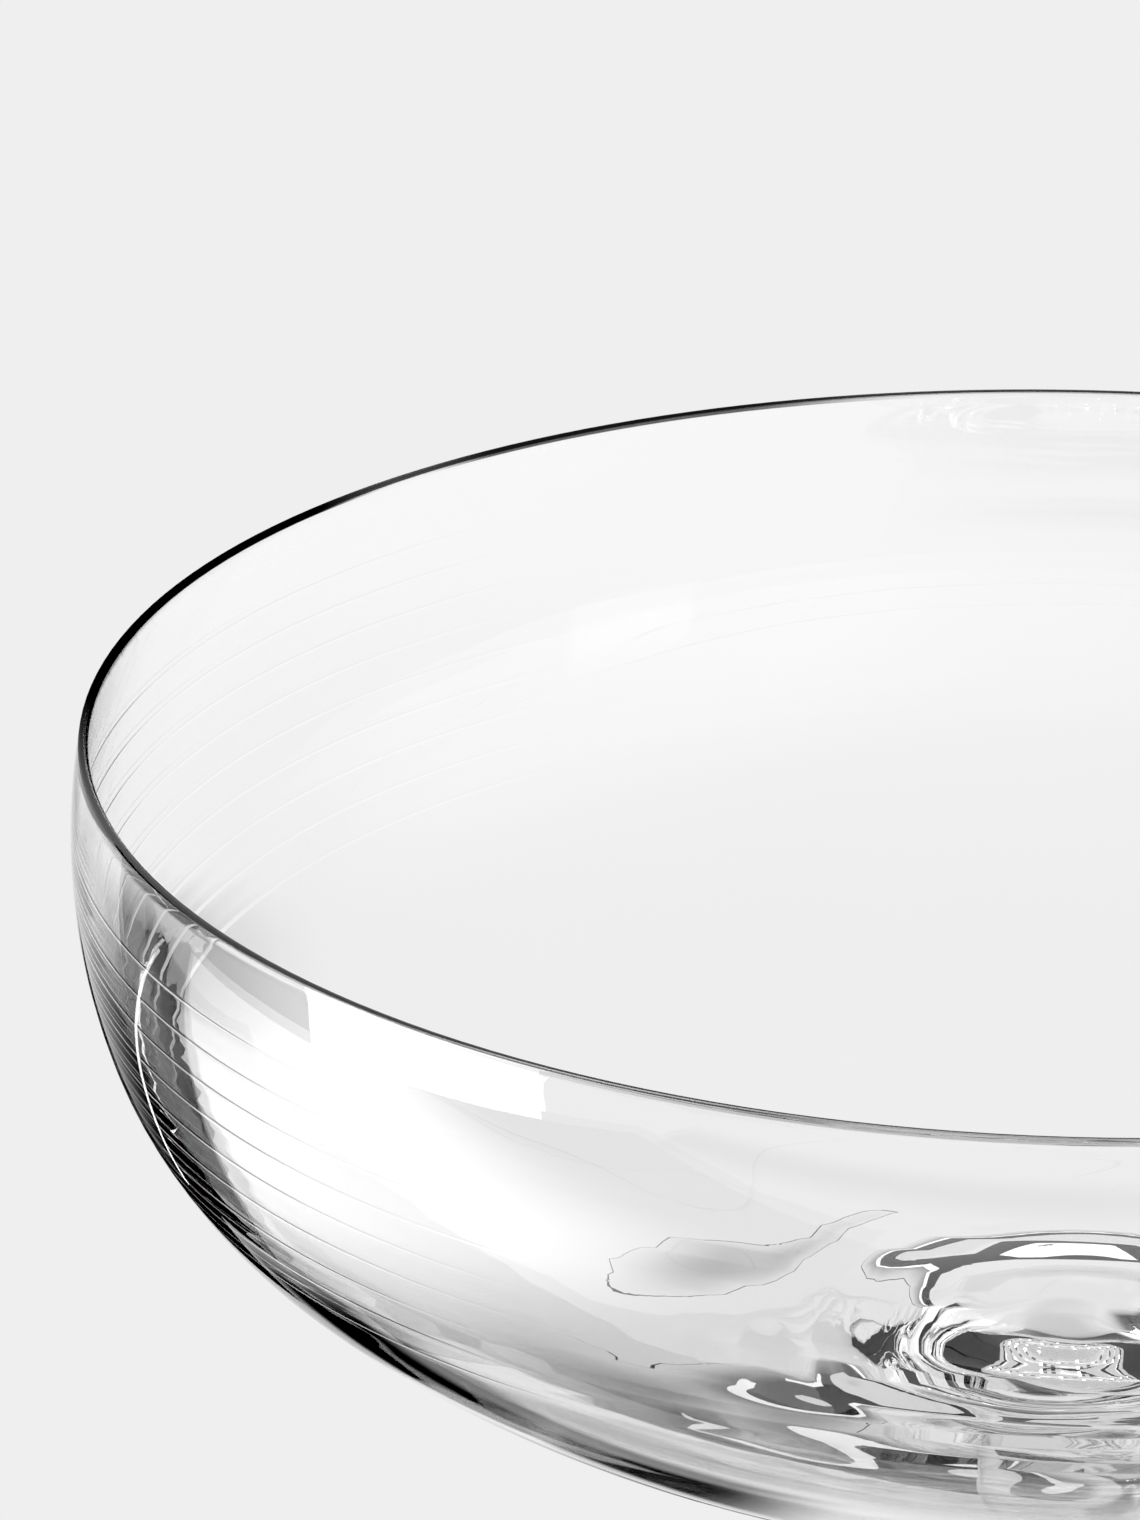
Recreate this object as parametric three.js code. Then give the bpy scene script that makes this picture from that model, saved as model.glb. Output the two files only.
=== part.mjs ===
// Champagne coupe in clear glass, in millimetres, standing on z = 0 with its axis along Z.
// Three gathers of glass are joined hot on two flat faces: a thin blown bowl, a drawn stem and a foot.
import * as THREE from "three";

// Bowl: from the lip down, three arcs that run on smoothly into one another
const RIM_RADIUS = 50.4;
const RIM_LEAN = 10.8; // degrees that the wall leans outward just under the lip
const WALL_ARC_RADIUS = 28.5;
const WALL_ARC_SWEEP = 29.3; // degrees
const SHOULDER_ARC_RADIUS = 18.9;
const SHOULDER_ARC_SWEEP = 31.7; // degrees
const BASE_ARC_RADIUS = 56.5;
const BOSS_RADIUS = 11.4; // where the underside turns down towards the stem
const LIP = 0.5; // thickness at the rim, which grows to the wall's along the first arc
const WALL = 0.9; // thickness along the shoulder
const FLOOR = 1; // over the boss, where the wall has grown to its thickest

// Stem
const STEM_LENGTH = 95; // between its two joint faces
const NECK_JOINT_RADIUS = 7; // the face it shares with the bowl
const SHAFT_TOP_RADIUS = 4.6;
const SHAFT_LOW_RADIUS = 4;

// Foot
const FOOT_JOINT_RADIUS = 7.5; // the face it shares with the stem
const FOOT_FLARE_RADIUS = 15; // where the flare round the stem has run out
const FOOT_RADIUS = 36;
const FOOT_EDGE = 1.8; // thickness of the rounded edge
const FOOT_SLOPE = 5; // degrees that the top face falls towards the edge
const REST_RADIUS = 27; // inside this the underside is hollow
const HOLLOW = 1.1; // height of the hollow at the axis

// Slope of the glass where it crosses a joint face, from level
const JOINT_SLOPE = THREE.MathUtils.degToRad(45);

// Fineness of the faceted surfaces
const TURN_STEPS = 64;
const ARC_STEP = THREE.MathUtils.degToRad(7);
const LIP_STEPS = 6;
const EDGE_STEPS = 8;
const FLOOR_STEPS = 9;
const HOLLOW_STEPS = 4;

const INWARD = -Math.PI;
const DOWN = -Math.PI / 2;

// Draws one outline in the plane of radius (x) and height (y). The heading is the direction of travel,
// counted from outward, and every arc starts in the direction in which the last stroke ended.
class Pen {
  constructor(radius, height, heading) {
    this.points = [new THREE.Vector2(radius, height)];
    this.headings = [heading];
  }

  get end() {
    return this.points.at(-1);
  }

  get heading() {
    return this.headings.at(-1);
  }

  face(heading) {
    this.headings[this.headings.length - 1] = heading;
    return this;
  }

  lineTo(radius, height, heading = this.heading) {
    this.points.push(new THREE.Vector2(radius, height));
    this.headings.push(heading);
    return this;
  }

  // Arc that ends on a given heading: a positive bend turns left, a negative one right
  turnTo(heading, bend, steps = Math.ceil(Math.abs(heading - this.heading) / ARC_STEP)) {
    const start = this.end;
    const first = this.heading;
    for (let i = 1; i <= steps; i++) {
      const now = first + ((heading - first) * i) / steps;
      const radius = start.x + bend * (Math.sin(now) - Math.sin(first));
      const height = start.y - bend * (Math.cos(now) - Math.cos(first));
      this.lineTo(radius, height, now);
    }
    return this;
  }

  // Arc that ends on a given heading at a given radius
  reach(radius, heading, steps) {
    const bend = (radius - this.end.x) / (Math.sin(heading) - Math.sin(this.heading));
    this.turnTo(heading, bend, steps);
    this.end.x = radius;
    return this;
  }

  // Inward arc of a given bend that ends at a given radius
  turnInTo(radius, bend) {
    const sine = Math.sin(this.heading) + (radius - this.end.x) / bend;
    this.turnTo(INWARD - Math.asin(sine), bend);
    this.end.x = radius;
    return this;
  }
}

function turned(name, points, material) {
  const geometry = new THREE.LatheGeometry(points, TURN_STEPS);
  geometry.rotateX(Math.PI / 2);
  const mesh = new THREE.Mesh(geometry, material);
  mesh.name = name;
  return mesh;
}

function clearGlass(color) {
  return new THREE.MeshStandardMaterial({
    color,
    roughness: 0.03,
    metalness: 0,
    transparent: true,
    opacity: 0.35,
  });
}

// The outside of the bowl's wall from the lip to the end of the shoulder
function wallSkin() {
  const lip = DOWN + THREE.MathUtils.degToRad(RIM_LEAN);
  const wallEnd = lip - THREE.MathUtils.degToRad(WALL_ARC_SWEEP);
  const shoulderEnd = wallEnd - THREE.MathUtils.degToRad(SHOULDER_ARC_SWEEP);
  return new Pen(RIM_RADIUS, 0, lip)
    .turnTo(wallEnd, -WALL_ARC_RADIUS)
    .turnTo(shoulderEnd, -SHOULDER_ARC_RADIUS);
}

// The inside of the same stretch, which lies inward of every point of the outside by the thickness there
function innerSkin(skin) {
  const lip = skin.headings[0];
  const sweep = THREE.MathUtils.degToRad(WALL_ARC_SWEEP);
  return skin.points.map((point, i) => {
    const heading = skin.headings[i];
    const growth = THREE.MathUtils.smoothstep(lip - heading, 0, sweep);
    const inset = THREE.MathUtils.lerp(LIP, WALL, growth);
    return new THREE.Vector2(point.x + inset * Math.sin(heading), point.y - inset * Math.cos(heading));
  });
}

// The inside of the bowl's floor, from the axis outward. It is level at the axis and its power makes
// it meet the shoulder without a kink, so the wall thickens gradually towards the stem.
function floorPoints(shoulder, heading, height) {
  const span = shoulder.x;
  const rise = shoulder.y - height;
  const power = (Math.tan(heading) * span) / rise;
  const points = [];
  for (let i = 0; i < FLOOR_STEPS; i++) {
    const share = i / FLOOR_STEPS;
    points.push(new THREE.Vector2(span * share, height + rise * share ** power));
  }
  return points;
}

// Its own z = 0 is the face that it shares with the stem
function bowl() {
  const outside = wallSkin();
  const lip = outside.headings[0];
  const shoulder = outside.heading;
  const inside = innerSkin(outside);
  outside.turnInTo(BOSS_RADIUS, -BASE_ARC_RADIUS);
  const underside = outside.end.y;
  outside.reach(NECK_JOINT_RADIUS, INWARD + JOINT_SLOPE);
  const joint = outside.end.y;
  outside.lineTo(0, joint);

  const floor = floorPoints(inside.at(-1), shoulder, underside + FLOOR);
  const rim = new Pen(inside[0].x, inside[0].y, lip + Math.PI);
  rim.turnTo(lip, -LIP / 2, LIP_STEPS);

  const points = [
    ...floor,
    ...inside.reverse(),
    ...rim.points.slice(1, -1),
    ...outside.points,
  ];
  for (const point of points) point.y -= joint;
  return turned("bowl", points.reverse(), clearGlass(0xf4f6f6));
}

// Its own z = 0 is the face that it shares with the foot
function stem() {
  const upper = new Pen(NECK_JOINT_RADIUS, STEM_LENGTH, INWARD + JOINT_SLOPE);
  upper.reach(SHAFT_TOP_RADIUS, DOWN);
  const lower = new Pen(FOOT_JOINT_RADIUS, 0, INWARD - JOINT_SLOPE);
  lower.reach(SHAFT_LOW_RADIUS, -DOWN - 2 * Math.PI);
  const axisTop = new THREE.Vector2(0, STEM_LENGTH);
  const axisLow = new THREE.Vector2(0, 0);
  const points = [axisLow, ...lower.points, ...upper.points.reverse(), axisTop];
  return turned("stem", points, clearGlass(0xf2f5f5));
}

// Its own z = 0 is the table
function foot() {
  const slope = THREE.MathUtils.degToRad(FOOT_SLOPE);
  const top = new Pen(FOOT_JOINT_RADIUS, 0, -JOINT_SLOPE);
  top.reach(FOOT_FLARE_RADIUS, -slope);
  const edgeStart = FOOT_RADIUS - (FOOT_EDGE / 2) * (1 - Math.sin(slope));
  top.lineTo(edgeStart, top.end.y - (edgeStart - FOOT_FLARE_RADIUS) * Math.tan(slope));
  top.turnTo(INWARD, -FOOT_EDGE / 2, EDGE_STEPS);
  const table = top.end.y;
  top.lineTo(REST_RADIUS, table);
  top.face(INWARD - 2 * Math.atan(HOLLOW / REST_RADIUS));
  top.reach(0, INWARD, HOLLOW_STEPS);
  const points = [new THREE.Vector2(0, 0), ...top.points];
  for (const point of points) point.y -= table;
  return turned("foot", points.reverse(), clearGlass(0xf1f4f4));
}

// Each piece stands on the joint face of the one below it
const coupe = new THREE.Group();
coupe.name = "champagne_coupe";
const standing = foot();
standing.geometry.computeBoundingBox();
const drawn = stem();
drawn.position.z = standing.geometry.boundingBox.max.z;
const blown = bowl();
blown.position.z = drawn.position.z + STEM_LENGTH;
coupe.add(standing, drawn, blown);

export default coupe;
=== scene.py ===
import math

import bpy
from bpy.props import FloatProperty, FloatVectorProperty, IntProperty, PointerProperty
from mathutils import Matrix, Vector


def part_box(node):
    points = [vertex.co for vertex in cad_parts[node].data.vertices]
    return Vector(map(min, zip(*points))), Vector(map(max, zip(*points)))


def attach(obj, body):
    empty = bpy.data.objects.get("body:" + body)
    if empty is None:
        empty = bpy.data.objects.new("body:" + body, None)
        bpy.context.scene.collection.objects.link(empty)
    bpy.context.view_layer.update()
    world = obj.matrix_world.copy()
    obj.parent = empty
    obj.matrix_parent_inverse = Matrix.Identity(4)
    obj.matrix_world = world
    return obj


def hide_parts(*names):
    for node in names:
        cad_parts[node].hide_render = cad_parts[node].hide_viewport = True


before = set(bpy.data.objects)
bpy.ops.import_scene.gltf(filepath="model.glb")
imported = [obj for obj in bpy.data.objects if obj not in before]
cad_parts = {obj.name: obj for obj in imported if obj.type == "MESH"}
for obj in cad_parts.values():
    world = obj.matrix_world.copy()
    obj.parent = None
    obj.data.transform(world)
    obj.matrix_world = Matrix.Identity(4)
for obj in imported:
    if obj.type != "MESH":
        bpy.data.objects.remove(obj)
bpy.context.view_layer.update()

bl_info = {
    "name": "Champagne coupe",
    "version": (1, 0, 0),
    "blender": (4, 5, 0),
    "location": "View3D > Sidebar > Coupe",
    "description": "Models a clear glass champagne coupe on its packed frame and sets up its studio",
    "category": "Mesh",
}

BODY = "root"

# Heights and radii that the frame gives
RIM_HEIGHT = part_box("bowl")[1].z
NECK_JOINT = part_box("bowl")[0].z
FOOT_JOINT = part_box("foot")[1].z
FOOT_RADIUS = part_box("foot")[1].x

# Directions of travel along an outline, counted from outward
INWARD = -math.pi
DOWN = -math.pi / 2
UP = -3 * math.pi / 2
JOINT_SLOPE = math.radians(45)

# How finely the pieces are turned: steps round the axis, then points along their curves
LATHE_STEPS = 192
FLOOR_POINTS = 72
ROUND_EDGE_POINTS = 16
HOLLOW_POINTS = 40
SMOOTH_ANGLE = math.radians(30)

# How near two places are that count as one, in metres
SAME_POINT = 1e-6
SAME_RADIUS = 2e-6
SAME_HEIGHT = 1e-5

# A face with more of its normal upright than this is level, and a lower ridge than this is no ring
LEVEL_FACE = 0.999
LEAST_RIDGE = 0.001

# Heights are looked up in tenths of a micrometre
FINE_HEIGHTS = 1e7

# Painted shade on the lip, a dark line that stands in for a dark refraction: where it starts and is full
# under the top of the rim, and its strengths
PAINTED_LIP_LINE_START = 0.00032
PAINTED_LIP_LINE_FULL = 0.00026
BACK_LIP_SHADE = 0.85
NEAR_LIP_SHADE = 0.08
NEAR_LIP_SHADE_RIGHT = 0.3

# Streaks of tint in the glass to the metre
STREAK_SCALE = 40.0

# The floor's width, how far apart cards lie on it, and the shade round the foot in foot radii
FLOOR_WIDTH = 8
CARD_LIFT = 0.0003
FOOT_SHADE = 0.2
SHADE_START = 0.9
SHADE_END = 1.5

# The camera: metres in front of the axis and over the rim, degrees down and to the left, millimetres
CAMERA_FRONT = 0.3653
CAMERA_OVER_RIM = 0.14526
CAMERA_TILT = 22.03
CAMERA_TURN = 4.04
CAMERA_LENS = 184.7
CAMERA_SENSOR = 36


def size(name, default, description, **extra):
    """A length that a user may change, in metres."""
    return FloatProperty(name=name, description=description, default=default, unit="LENGTH",
                         precision=5, min=0.0, **extra)


def angle(name, default, description):
    """An angle that a user may change, given in degrees."""
    return FloatProperty(name=name, description=description, default=math.radians(default),
                         subtype="ANGLE")


class CoupeBowlSettings(bpy.types.PropertyGroup):
    rim_radius: size("Rim radius", 0.0504, "Outside of the lip")
    rim_lean: angle("Rim lean", 10.8, "How far the wall leans outward just under the lip")
    wall_arc_radius: size("Wall arc", 0.0285, "Radius of the arc from the lip to the shoulder")
    wall_arc_sweep: angle("Wall sweep", 29.3, "Turn of the wall's arc")
    shoulder_arc_radius: size("Shoulder arc", 0.0189, "Radius of the shoulder")
    shoulder_arc_sweep: angle("Shoulder sweep", 31.7, "Turn of the shoulder's arc")
    base_arc_radius: size("Base arc", 0.0565, "Radius of the underside")
    boss_radius: size("Boss radius", 0.0114, "Where the underside turns down to the stem")
    lip: size("Lip", 0.0005, "Thickness at the rim, which grows to the wall's by the end of the shoulder")
    wall: size("Wall", 0.0009, "Thickness at the end of the shoulder")
    floor: size("Floor", 0.001, "Thickness over the boss")
    ring_count: IntProperty(name="Rings", description="Fine rings that the mould left", default=9)
    ring_start: size("First ring", 0.0043, "Length of wall above the first ring")
    ring_pitch: size("Ring pitch", 0.00185, "Length of wall from ring to ring")
    ring_height: size("Ring height", 0.00001, "How far a ring stands out")
    ring_side: angle("Ring side", 182, "Where round the bowl the rings stand out most")
    ring_spread: angle("Ring spread", 31, "Turn to either side within which the rings keep their height")
    ring_width: size("Ring width", 0.00004, "Half width of a ring at its shoulders")
    ripple_height: size("Ripple height", 0.0003, "Height of the ripples round the middle of the floor")
    ripple_pitch: size("Ripple pitch", 0.005, "Distance from ripple to ripple")
    ripple_reach: size("Ripple reach", 0.019, "Radius at which the ripples have run out")
    wave_height: size("Wave height", 0.0018, "Height of the waves on the inside of the floor")
    wave_length: size("Wave length", 0.012, "Spacing of the waves")
    wave_reach: size("Wave reach", 0.030, "Radius at which the waves have run out")
    wave_full: size("Full waves", 0.008, "Radius within which the waves are at their full height")


class CoupeStemSettings(bpy.types.PropertyGroup):
    neck_joint_radius: size("Neck joint", 0.007, "Radius of the face shared with the bowl")
    shaft_top_radius: size("Shaft top", 0.0046, "Radius under the bowl")
    shaft_low_radius: size("Shaft low", 0.004, "Radius over the foot")


class CoupeFootSettings(bpy.types.PropertyGroup):
    foot_joint_radius: size("Foot joint", 0.0075, "Radius of the face shared with the stem")
    flare_radius: size("Flare", 0.015, "Where the flare round the stem has run out")
    edge: size("Edge", 0.0018, "Thickness of the rounded edge")
    slope: angle("Slope", 5.0, "Fall of the top face towards the edge")
    rest_radius: size("Rest ring", 0.027, "Inside this the underside is hollow")
    hollow: size("Hollow", 0.0011, "Height of the hollow at the axis")


class CoupeGlassSettings(bpy.types.PropertyGroup):
    ior: FloatProperty(name="IOR", description="Refractive index of the glass", default=1.52)
    tint: FloatVectorProperty(name="Tint", description="Colour of the clear glass", subtype="COLOR",
                              size=3, default=(0.98, 0.98, 0.98), min=0.0, max=1.0)
    wave_scale: FloatProperty(name="Wave scale", description="Fine waves of the surface to the metre",
                              default=130.0)
    wave_height: size("Wave height", 0.000012, "Height of the fine waves of the surface")


class CoupeStageSettings(bpy.types.PropertyGroup):
    floor_tone: FloatProperty(name="Floor tone", description="Brightness of the floor", default=0.8632)
    belt_tone: FloatProperty(name="Belt tone", description="Brightness of the studio round the camera",
                             default=1.4)
    softbox_power: FloatProperty(name="Softbox", description="Brightness of the softbox", default=6.0)


class Outline:
    """One outline in the plane of radius and height. The heading is the direction of travel, counted
    from outward, and every arc starts in the direction in which the last stroke ended."""

    # Length between the points of an arc and of a line, and how clear of a mark other points keep
    STEP = 0.0006
    LINE_STEP = 4 * STEP
    CLEAR = 0.0003

    # Where a mark has points of its own to either side, in widths of the mark
    BESIDE = (0.5, 1.1, 1.8, 2.6, 3.6, 5, 7, 10, 14.5)

    def __init__(self, radius, height, heading, marks=(), width=0.0):
        self.points = [(radius, height)]
        self.headings = [heading]
        self.runs = [0.0]
        beside = [stop * side for stop in (0, *self.BESIDE) for side in (-1, 1)]
        self.marks = sorted({mark + width * stop for mark in marks for stop in beside})

    @property
    def radius(self):
        return self.points[-1][0]

    @property
    def height(self):
        return self.points[-1][1]

    @property
    def heading(self):
        return self.headings[-1]

    def add(self, radius, height, heading, run):
        """One more point, with its heading and the length of the outline up to it."""
        self.points.append((radius, height))
        self.headings.append(heading)
        self.runs.append(run)

    def line_to(self, radius, height):
        """Straight stroke to a point, which keeps the heading."""
        r0, z0 = self.points[-1]
        start = self.runs[-1]
        run = math.hypot(radius - r0, height - z0)
        steps = max(1, round(run / self.LINE_STEP))
        for i in range(1, steps + 1):
            share = i / steps
            self.add(r0 + (radius - r0) * share, z0 + (height - z0) * share,
                     self.heading, start + run * share)
        return self

    def turn_to(self, heading, bend, least=8):
        """Arc that ends on a heading: a positive bend turns left, a negative one right."""
        r0, z0 = self.points[-1]
        first = self.heading
        start = self.runs[-1]
        run = abs((heading - first) * bend)
        steps = max(least, round(run / self.STEP))
        stops = [run * i / steps for i in range(1, steps + 1)]
        fine = [mark - start for mark in self.marks if 0 < mark - start < run]
        stops = [stop for stop in stops if all(abs(stop - mark) > self.CLEAR for mark in fine)]
        for stop in sorted(stops + fine):
            now = first + (heading - first) * stop / run
            self.add(r0 + bend * (math.sin(now) - math.sin(first)),
                     z0 - bend * (math.cos(now) - math.cos(first)), now, start + stop)
        return self

    def reach(self, radius, heading, least=8):
        """Arc that ends on a heading at a radius."""
        bend = (radius - self.radius) / (math.sin(heading) - math.sin(self.heading))
        return self.turn_to(heading, bend, least)

    def turn_in_to(self, radius, bend):
        """Inward arc of a bend that ends at a radius."""
        sine = math.sin(self.heading) + (radius - self.radius) / bend
        return self.turn_to(INWARD - math.asin(sine), bend)

    def offset(self, depth):
        """The points moved to the right of the direction of travel, by a depth that depends on the run."""
        return [(r + depth(run) * math.sin(heading), z - depth(run) * math.cos(heading))
                for (r, z), heading, run in zip(self.points, self.headings, self.runs)]


class Socket:
    """A shader socket that takes part in Python expressions, each of which adds its Math node."""

    def __init__(self, tree, output):
        self.tree = tree
        self.output = output

    @classmethod
    def make(cls, tree, kind, settings, sockets, output=0):
        """Adds a node: its settings first, then the values or links of its sockets."""
        node = tree.nodes.new(kind)
        for name, value in settings.items():
            setattr(node, name, value)
        for name, value in sockets.items():
            if isinstance(value, cls):
                tree.links.new(value.output, node.inputs[name])
            else:
                node.inputs[name].default_value = value
        return cls(tree, node.outputs[output])

    def feed(self, node, name):
        """Leads the socket to an input of a node that the tree has from the start."""
        self.tree.links.new(self.output, self.tree.nodes[node].inputs[name])

    def calculate(self, operation, *values):
        return self.make(self.tree, "ShaderNodeMath", {"operation": operation}, dict(enumerate(values)))

    def __add__(self, other):
        return self.calculate("ADD", self, other)

    def __sub__(self, other):
        return self.calculate("SUBTRACT", self, other)

    def __rsub__(self, other):
        return self.calculate("SUBTRACT", other, self)

    def __mul__(self, other):
        return self.calculate("MULTIPLY", self, other)

    __radd__ = __add__
    __rmul__ = __mul__


def coordinates(tree, kind):
    """The place on a piece, or the direction in the studio."""
    return Socket.make(tree, "ShaderNodeTexCoord", {}, {}, kind)


def along(place, axis):
    """One axis of a place."""
    return Socket.make(place.tree, "ShaderNodeSeparateXYZ", {}, {0: place}, axis)


def ramp(value, start, end):
    """A soft step from nought to one."""
    return Socket.make(value.tree, "ShaderNodeMapRange", {"interpolation_type": "SMOOTHSTEP"},
                       {"Value": value, "From Min": start, "From Max": end})


def feed_grey(level, node, name):
    """Leads a level to a colour input, as a grey."""
    grey = Socket.make(level.tree, "ShaderNodeCombineColor", {}, {0: level, 1: level, 2: level})
    grey.feed(node, name)


def painted_lip_shade(place):
    """Painted shade along the lip, a dark line that stands in for a dark refraction: most on the left and
    at the back, a little at the front.
    """
    across = along(place, "X")
    lip = ramp(along(place, "Z"), RIM_HEIGHT - PAINTED_LIP_LINE_START, RIM_HEIGHT - PAINTED_LIP_LINE_FULL)
    left = ramp(across, -0.0375, -0.0415)
    back = ramp(across, -0.0365, -0.0325) * ramp(across, -0.008, -0.02) * BACK_LIP_SHADE
    near = ramp(along(place, "Y"), 0.0, -0.02)
    right = ramp(across, -0.03, -0.012)
    return lip * ((left + back) * (1 - near) + near * (NEAR_LIP_SHADE + NEAR_LIP_SHADE_RIGHT * right))


def clear_glass():
    """Clear glass with faint streaks and fine waves, and painted shade: a dark line along part of the lip
    that stands in for a dark refraction.
    """
    made = bpy.data.materials.get("clear_glass")
    if made:
        return made
    made = bpy.data.materials.new("clear_glass")
    made.use_nodes = True
    tree = made.node_tree
    shader = tree.nodes["Principled BSDF"]
    glass = bpy.context.scene.coupe_glass
    place = coordinates(tree, "Object")
    # A black shader, mixed into the glass along the lip as painted shade
    dark = Socket.make(tree, "ShaderNodeBsdfPrincipled", {},
                       {"Base Color": (0.0, 0.0, 0.0, 1), "Roughness": 1.0, "Specular IOR Level": 0.0})
    clear = Socket(tree, shader.outputs["BSDF"])
    body = Socket.make(tree, "ShaderNodeMixShader", {}, {0: painted_lip_shade(place), 1: clear, 2: dark})
    body.feed("Material Output", "Surface")
    streaks = Socket.make(tree, "ShaderNodeTexNoise", {},
                          {"Vector": place, "Scale": STREAK_SCALE, "Detail": 2.0})
    tint = Socket.make(tree, "ShaderNodeMix", {"data_type": "RGBA"},
                       {"Factor": streaks, "A": (*glass.tint, 1), "B": (1, 1, 1, 1)}, "Result")
    tint.feed("Principled BSDF", "Base Color")
    waves = Socket.make(tree, "ShaderNodeTexNoise", {},
                        {"Vector": place, "Scale": glass.wave_scale, "Detail": 1.0})
    bump = Socket.make(tree, "ShaderNodeBump", {},
                       {"Height": waves, "Strength": 1.0, "Distance": glass.wave_height})
    bump.feed("Principled BSDF", "Normal")
    shader.inputs["Roughness"].default_value = 0.0
    shader.inputs["IOR"].default_value = glass.ior
    shader.inputs["Transmission Weight"].default_value = 1.0
    return made


def fused_joint():
    """The faces where two pieces are fused, which light runs through unbent."""
    made = bpy.data.materials.get("fused_joint")
    if made:
        return made
    made = bpy.data.materials.new("fused_joint")
    made.use_nodes = True
    shader = made.node_tree.nodes["Principled BSDF"]
    shader.inputs["Alpha"].default_value = 0.0
    return made


def turn_on_lathe(name, points):
    """Draws an outline vertex by vertex in edit mode and spins it round the axis of the glass."""
    bpy.ops.object.select_all(action="DESELECT")
    bpy.ops.mesh.primitive_plane_add(size=0.01)
    piece = bpy.context.object
    piece.name = name
    bpy.ops.object.mode_set(mode="EDIT")
    bpy.ops.mesh.merge(type="CENTER")
    here = points[0]
    bpy.ops.transform.translate(value=(here[0], 0, here[1]))
    for radius, height in points[1:]:
        stroke = (radius - here[0], 0, height - here[1])
        bpy.ops.mesh.extrude_vertices_move(TRANSFORM_OT_translate={"value": stroke})
        here = (radius, height)
    bpy.ops.mesh.select_all(action="SELECT")
    bpy.ops.mesh.spin(steps=LATHE_STEPS, angle=math.tau, center=(0, 0, 0), axis=(0, 0, 1))
    bpy.ops.mesh.select_all(action="SELECT")
    bpy.ops.mesh.remove_doubles(threshold=SAME_POINT)
    bpy.ops.mesh.normals_make_consistent(inside=False)
    bpy.ops.object.mode_set(mode="OBJECT")
    bpy.ops.object.shade_smooth_by_angle(angle=SMOOTH_ANGLE)
    return piece


def finish_piece(piece, node, joints):
    """Glass all over, with the faces that are fused to a neighbour left clear."""
    piece.data.materials.append(clear_glass())
    piece.data.materials.append(fused_joint())
    for face in piece.data.polygons:
        level = abs(face.normal.z) > LEVEL_FACE
        if level and any(abs(face.center.z - z) < SAME_HEIGHT for z in joints):
            face.material_index = 1
    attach(piece, BODY)
    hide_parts(node)


def wall_skin(bowl, marks=(), width=0.0):
    """The outside of the bowl's wall from the lip to the end of the shoulder."""
    skin = Outline(bowl.rim_radius, 0, DOWN + bowl.rim_lean, marks, width)
    skin.turn_to(skin.heading - bowl.wall_arc_sweep, -bowl.wall_arc_radius)
    return skin.turn_to(skin.heading - bowl.shoulder_arc_sweep, -bowl.shoulder_arc_radius)


def smooth(share):
    """A soft step from nought to one, in numbers alone."""
    share = min(1.0, max(0.0, share))
    return share * share * (3 - 2 * share)


def displace(piece, group, direction, middle, strength, texture=None):
    """Moves the vertices of a group, and keeps the result in the mesh."""
    modifier = piece.modifiers.new(group.name, "DISPLACE")
    modifier.vertex_group = group.name
    modifier.direction = direction
    modifier.mid_level = middle
    modifier.strength = strength
    if texture:
        modifier.texture = texture
        modifier.texture_coords = "LOCAL"
    bpy.ops.object.modifier_apply(modifier=modifier.name)


def raise_rings(piece, bowl, stops):
    """Raises the fine rings on the inside of the wall, strongest on the left and gone on the right."""
    ridges = {round(z * FINE_HEIGHTS): (r, ridge) for r, z, ridge in stops if ridge > LEAST_RIDGE}
    group = piece.vertex_groups.new(name="rings")
    for vertex in piece.data.vertices:
        radius = math.hypot(vertex.co.x, vertex.co.y)
        key = round(vertex.co.z * FINE_HEIGHTS)
        for close in (key - 1, key, key + 1):
            r, ridge = ridges.get(close, (0, 0))
            if abs(r - radius) < SAME_RADIUS:
                turn = math.atan2(vertex.co.y, vertex.co.x) % math.tau
                aside = abs(turn - bowl.ring_side) / bowl.ring_spread
                group.add([vertex.index], ridge * smooth(2 - aside), "REPLACE")
    displace(piece, group, "NORMAL", 0.0, bowl.ring_height)


def wave_floor(piece, bowl, level):
    """Raises the slow waves that blown glass keeps on the inside of its floor."""
    group = piece.vertex_groups.new(name="waves")
    for vertex in piece.data.vertices:
        radius = math.hypot(vertex.co.x, vertex.co.y)
        if radius < bowl.wave_reach and abs(vertex.co.z - level(radius)) < SAME_HEIGHT:
            weight = smooth((bowl.wave_reach - radius) / (bowl.wave_reach - bowl.wave_full))
            group.add([vertex.index], weight, "REPLACE")
    waves = bpy.data.textures.new("waves", "CLOUDS")
    waves.noise_scale = bowl.wave_length
    waves.noise_depth = 0
    displace(piece, group, "Z", 0.5, bowl.wave_height, waves)


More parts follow.
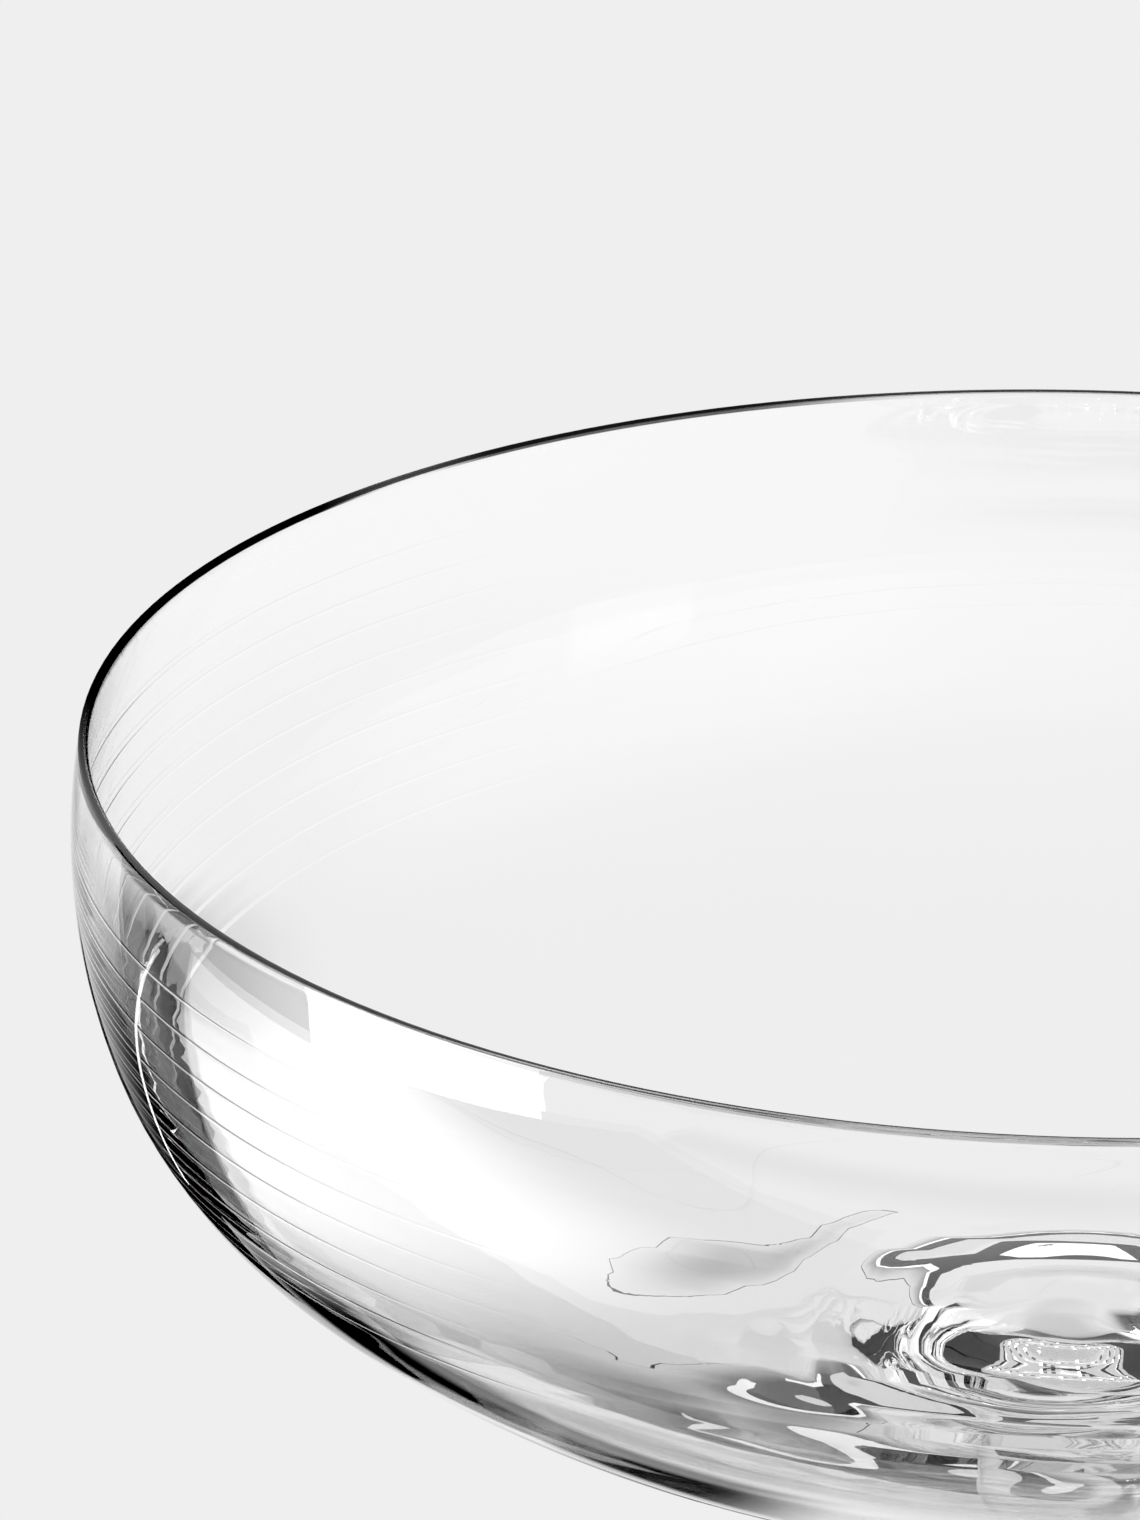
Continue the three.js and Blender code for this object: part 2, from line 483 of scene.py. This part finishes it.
class COUPE_OT_add_bowl(bpy.types.Operator):
    """Add the blown bowl"""
    bl_idname = "coupe.add_bowl"
    bl_label = "Add bowl"

    def execute(self, context):
        bowl = context.scene.coupe_bowl
        neck = context.scene.coupe_stem.neck_joint_radius
        outside = wall_skin(bowl)
        outside.turn_in_to(bowl.boss_radius, -bowl.base_arc_radius)
        underside = outside.height
        outside.reach(neck, INWARD + JOINT_SLOPE)
        joint = outside.height
        outside.line_to(0, joint)
        rings = [bowl.ring_start + bowl.ring_pitch * i for i in range(bowl.ring_count)]
        skin = wall_skin(bowl, rings, bowl.ring_width)
        taper = skin.runs[-1]

        def thickness(run):
            return bowl.lip + (bowl.wall - bowl.lip) * smooth(run / taper)

        def ridge(run):
            return sum(math.exp(-((run - at) / bowl.ring_width) ** 2 / 2) for at in rings)

        inside = skin.offset(thickness)
        span, top = inside[-1]
        floor = underside + bowl.floor
        power = math.tan(skin.heading) * span / (top - floor)

        def level(radius):
            ripple = bowl.ripple_height / 2 * math.cos(math.tau * radius / bowl.ripple_pitch)
            fade = smooth(radius / bowl.ripple_pitch) * smooth(2 - 2 * radius / bowl.ripple_reach)
            return floor + (top - floor) * (radius / span) ** power + ripple * fade

        radii = [span * i / FLOOR_POINTS for i in range(FLOOR_POINTS)]
        floor_points = [(radius, level(radius)) for radius in radii]
        lip = DOWN + bowl.rim_lean
        rim = Outline(*inside[0], lip + math.pi).turn_to(lip, -bowl.lip / 2, ROUND_EDGE_POINTS)
        points = [*floor_points, *reversed(inside), *rim.points[1:-1], *outside.points]
        lift = NECK_JOINT - joint
        piece = turn_on_lathe("bowl_glass", [(r, z + lift) for r, z in points])
        raise_rings(piece, bowl, [(r, z + lift, ridge(run)) for (r, z), run in zip(inside, skin.runs)])
        wave_floor(piece, bowl, lambda radius: level(radius) + lift)
        finish_piece(piece, "bowl", [NECK_JOINT])
        return {"FINISHED"}


class COUPE_OT_add_stem(bpy.types.Operator):
    """Add the drawn stem"""
    bl_idname = "coupe.add_stem"
    bl_label = "Add stem"

    def execute(self, context):
        stem = context.scene.coupe_stem
        foot = context.scene.coupe_foot
        upper = Outline(stem.neck_joint_radius, NECK_JOINT, INWARD + JOINT_SLOPE)
        upper.reach(stem.shaft_top_radius, DOWN)
        lower = Outline(foot.foot_joint_radius, FOOT_JOINT, INWARD - JOINT_SLOPE)
        lower.reach(stem.shaft_low_radius, UP)
        upper.line_to(*lower.points[-1])
        points = [(0, NECK_JOINT), *upper.points[:-1], *reversed(lower.points), (0, FOOT_JOINT)]
        piece = turn_on_lathe("stem_glass", points)
        finish_piece(piece, "stem", [NECK_JOINT, FOOT_JOINT])
        return {"FINISHED"}


class COUPE_OT_add_foot(bpy.types.Operator):
    """Add the foot"""
    bl_idname = "coupe.add_foot"
    bl_label = "Add foot"

    def execute(self, context):
        foot = context.scene.coupe_foot
        top = Outline(foot.foot_joint_radius, FOOT_JOINT, -JOINT_SLOPE)
        top.reach(foot.flare_radius, -foot.slope)
        edge = FOOT_RADIUS - foot.edge / 2 * (1 - math.sin(foot.slope))
        top.line_to(edge, top.height - (edge - foot.flare_radius) * math.tan(foot.slope))
        top.turn_to(INWARD, -foot.edge / 2, ROUND_EDGE_POINTS)
        top.line_to(foot.rest_radius, top.height)
        top.headings[-1] = INWARD - 2 * math.atan(foot.hollow / foot.rest_radius)
        top.reach(0, INWARD, HOLLOW_POINTS)
        piece = turn_on_lathe("foot_glass", [(0, FOOT_JOINT), *top.points])
        finish_piece(piece, "foot", [FOOT_JOINT])
        return {"FINISHED"}


def card(name, material, corners):
    """A flat card that only the glass sees, given by its four corners."""
    bpy.ops.object.select_all(action="DESELECT")
    bpy.ops.mesh.primitive_plane_add(size=1)
    made = bpy.context.object
    made.name = name
    for vertex, corner in zip(made.data.vertices, corners):
        vertex.co = corner
    made.data.materials.append(material)
    made.visible_camera = False


def lying(name, material, near_start, near_end, far_start, far_end, layer=1):
    """A card that lies on the floor, given by its corners in plan."""
    corners = (near_start, near_end, far_start, far_end)
    card(name, material, [(*corner, CARD_LIFT * layer) for corner in corners])


def oblong(name, material, across, deep, layer=1):
    """A card that lies square on the floor, given by where it starts and ends both ways."""
    lying(name, material, *[(x, y) for y in deep for x in across], layer)


def upright(name, material, start, end, low, high):
    """A card that stands between two points in plan."""
    card(name, material, [(*start, low), (*end, low), (*start, high), (*end, high)])


def glow(name, tone):
    """A tone of its own, which no light changes."""
    made = bpy.data.materials.new(name)
    made.use_nodes = True
    shader = made.node_tree.nodes["Principled BSDF"]
    shader.inputs["Base Color"].default_value = (0, 0, 0, 1)
    shader.inputs["Roughness"].default_value = 1.0
    shader.inputs["Specular IOR Level"].default_value = 0.0
    shader.inputs["Emission Color"].default_value = (tone, tone, tone, 1)
    shader.inputs["Emission Strength"].default_value = 1.0
    return made


def pool(name, tone, dim, fades):
    """A glow that runs out to a dim tone. Each fade is an axis, where it is dim and where it is full."""
    made = glow(name, tone)
    place = coordinates(made.node_tree, "Object")
    masks = [ramp(along(place, axis), start, end) for axis, start, end in fades]
    level = masks[0]
    for mask in masks[1:]:
        level = level * mask
    feed_grey(dim + level * (tone - dim), "Principled BSDF", "Emission Color")
    return made


def shaded_floor(name, tone):
    """A glow with the soft shade that the foot leaves round itself."""
    made = glow(name, tone)
    tree = made.node_tree
    place = coordinates(tree, "Object")
    away = Socket.make(tree, "ShaderNodeVectorMath", {"operation": "LENGTH"}, {0: place}, "Value")
    clear = ramp(away, FOOT_RADIUS * SHADE_START, FOOT_RADIUS * SHADE_END)
    level = tone * (1 - FOOT_SHADE + FOOT_SHADE * clear)
    feed_grey(level, "Principled BSDF", "Emission Color")
    return made


def lay_floor(tone):
    """The pale floor, the one part of the stage that the camera sees."""
    bpy.ops.object.select_all(action="DESELECT")
    bpy.ops.mesh.primitive_plane_add(size=FLOOR_WIDTH)
    floor = bpy.context.object
    floor.name = "pale_floor"
    floor.data.materials.append(shaded_floor("pale_floor", tone))


def lay_left_felts(tone, black):
    """The felts at the back on the left, which make the dark band on the left wall. Towards their far end
    their edge is softened with painted shade, a penumbra where the floor's light falls off: one felt fades
    out into the floor, and a grey card of painted shade runs along the edge.
    """
    lying("black_felt", black, (-0.0905, 0.10), (-0.10, 0.10), (-0.0905, 0.27), (-0.13, 0.27), 3)
    near = pool("black_felt_near", 0.0, tone,
                [("X", -0.02, -0.036), ("X", -0.125, -0.105), ("Y", 0.04, 0.056), ("Y", 0.122, 0.104)])
    oblong("black_felt_near", near, (-0.02, -0.125), (0.04, 0.122), 3)
    # Painted shade: this felt fades into the floor as a penumbra
    fading = pool("felt_fading_in_painted_penumbra", 0.0, tone, [("X", -0.085, -0.097), ("Y", 0.29, 0.265)])
    oblong("felt_fading_in_painted_penumbra", fading, (-0.085, -0.13), (0.27, 0.29), 3)
    # Painted shade: a grey penumbra along the far part of the felts' edge
    soft = pool("grey_painted_penumbra", 0.3, tone,
                [("X", -0.068, -0.092), ("Y", 0.236, 0.258), ("Y", 0.295, 0.275)])
    oblong("grey_painted_penumbra", soft, (-0.068, -0.0905), (0.236, 0.295), 3)
    lying("black_felt_left", black, (-0.10, 0.085), (-0.15, 0.077), (-0.495, 0.373), (-0.5, 0.169), 2)


def light_left(softbox_power, black):
    """The softbox on the left with its lit board, the drape beside it and a strip of light."""
    lit = pool("lit_board", 2.8, 0.0, [("X", -0.10, -0.19), ("Y", -0.25, -0.09), ("Y", 0.35, -0.05)])
    lying("white_board", lit, (-0.10, -0.3), (-0.5, -0.5), (-0.10, 0.06), (-0.5, 0.169), 2)
    upright("softbox", glow("softbox", softbox_power), (-0.5, -0.34), (-0.5, -0.03), 0.0, 0.4)
    upright("black_drape", black, (-0.5, -0.03), (-0.5, 0.373), 0.0, 0.25)
    strip = glow("light_strip", 3.5)
    lying("light_strip", strip, (-0.12, 0.153), (-0.12, 0.157), (-0.39, 0.187), (-0.39, 0.191), 4)


def lay_back_sheets(tone, black):
    """The sheet, the slats and the board at the back, which draw the figures at the base of the bowl."""
    grey = pool("grey_sheet", 0.1, tone, [("Y", 0.192, 0.15), ("X", -0.06, -0.03)])
    oblong("grey_sheet", grey, (-0.06, 0.10), (0.14, 0.187), 2)
    lying("sheet_edge", black, (-0.04, 0.187), (0.10, 0.187), (-0.04, 0.1871), (0.10, 0.191), 2)
    oblong("black_slat", black, (-0.018, 0.08), (0.138, 0.157), 3)
    oblong("white_slat", glow("white_slat", 1.3), (-0.03, 0.08), (0.157, 0.163), 3)
    upright("black_back", black, (-0.15, 0.68), (0.29, 0.53), 0.0, 0.28)


def shade_round(tone):
    """The dark floor in front, and the paler and the greyer floor behind."""
    front = pool("dark_front", 0.0, 0.8, [("Y", -0.31, -0.2), ("X", 0.16, -0.04)])
    lying("dark_front", front, (-0.155, 0.0), (0.03, -0.05), (-0.40, -0.4), (0.18, -0.4))
    beyond = pool("dark_beyond", 0.05, 0.8,
                  [("Y", -0.42, -0.5), ("Y", -0.75, -0.6), ("X", 0.25, -0.02)])
    lying("dark_beyond", beyond, (-0.40, -0.4), (0.18, -0.4), (-0.6, -0.75), (0.35, -0.75))
    pale = pool("pale_back", 0.945, tone, [("Y", 0.29, 0.40), ("X", 0.08, -0.04)])
    oblong("pale_back", pale, (-0.14, 0.08), (0.29, 0.52))
    wedge = pool("grey_wedge", 0.0, tone, [("Y", 0.27, 0.16)])
    lying("grey_wedge", wedge, (-0.093, 0.10), (-0.19, 0.10), (-0.11, 0.25), (-0.30, 0.25))


def light_studio(scene, tone, belt_tone):
    """The studio all round: as pale as the floor, and brighter low down at the front, most on the right."""
    scene.world = bpy.data.worlds.new("studio")
    scene.world.use_nodes = True
    way = coordinates(scene.world.node_tree, "Generated")
    low = ramp(along(way, "Z"), 0.95, 0.4)
    front = ramp(along(way, "Y"), 0.6, -0.1)
    right = ramp(along(way, "X"), 0.1, 0.6)
    level = tone + low * front * (0.5 + 0.5 * right) * (belt_tone - tone)
    feed_grey(level, "Background", "Color")


def set_camera(scene):
    """The camera in front of the glass, which looks down into the bowl."""
    bpy.ops.object.camera_add(location=(0, -CAMERA_FRONT, RIM_HEIGHT + CAMERA_OVER_RIM),
                              rotation=(math.radians(90 - CAMERA_TILT), 0, math.radians(CAMERA_TURN)))
    camera = bpy.context.object
    camera.data.lens = CAMERA_LENS
    camera.data.sensor_width = CAMERA_SENSOR
    scene.camera = camera
    scene.view_settings.view_transform = "Standard"


def set_light_paths(scene):
    """How often light may turn in the glass. Fewer or more glossy turns change the figures at the base."""
    scene.cycles.max_bounces = 40
    scene.cycles.transmission_bounces = 32
    scene.cycles.glossy_bounces = 12
    scene.cycles.transparent_max_bounces = 32
    scene.cycles.use_denoising = True
    scene.cycles.blur_glossy = 0.0


class COUPE_OT_set_stage(bpy.types.Operator):
    """Set up the floor, the light and the camera"""
    bl_idname = "coupe.set_stage"
    bl_label = "Set stage"

    def execute(self, context):
        scene = context.scene
        stage = scene.coupe_stage
        tone = stage.floor_tone
        lay_floor(tone)
        black = glow("black", 0.0)
        lay_left_felts(tone, black)
        light_left(stage.softbox_power, black)
        lay_back_sheets(tone, black)
        shade_round(tone)
        light_studio(scene, tone, stage.belt_tone)
        set_camera(scene)
        set_light_paths(scene)
        return {"FINISHED"}


class COUPE_PT_panel(bpy.types.Panel):
    """Lists the pieces of the glass and the stage"""
    bl_label = "Champagne coupe"
    bl_idname = "COUPE_PT_panel"
    bl_space_type = "VIEW_3D"
    bl_region_type = "UI"
    bl_category = "Coupe"

    def draw(self, context):
        for step in STEPS:
            self.layout.operator(step)


SETTINGS = {
    "coupe_bowl": CoupeBowlSettings,
    "coupe_stem": CoupeStemSettings,
    "coupe_foot": CoupeFootSettings,
    "coupe_glass": CoupeGlassSettings,
    "coupe_stage": CoupeStageSettings,
}
CLASSES = (*SETTINGS.values(), COUPE_OT_add_bowl, COUPE_OT_add_stem, COUPE_OT_add_foot,
           COUPE_OT_set_stage, COUPE_PT_panel)
STEPS = ("coupe.set_stage", "coupe.add_bowl", "coupe.add_stem", "coupe.add_foot")


def register():
    for cls in CLASSES:
        bpy.utils.register_class(cls)
    for name, cls in SETTINGS.items():
        setattr(bpy.types.Scene, name, PointerProperty(type=cls))


def unregister():
    for name in SETTINGS:
        delattr(bpy.types.Scene, name)
    for cls in reversed(CLASSES):
        bpy.utils.unregister_class(cls)


def main():
    register()
    bpy.ops.coupe.set_stage()
    bpy.ops.coupe.add_bowl()
    bpy.ops.coupe.add_stem()
    bpy.ops.coupe.add_foot()


if __name__ == "__main__":
    main()
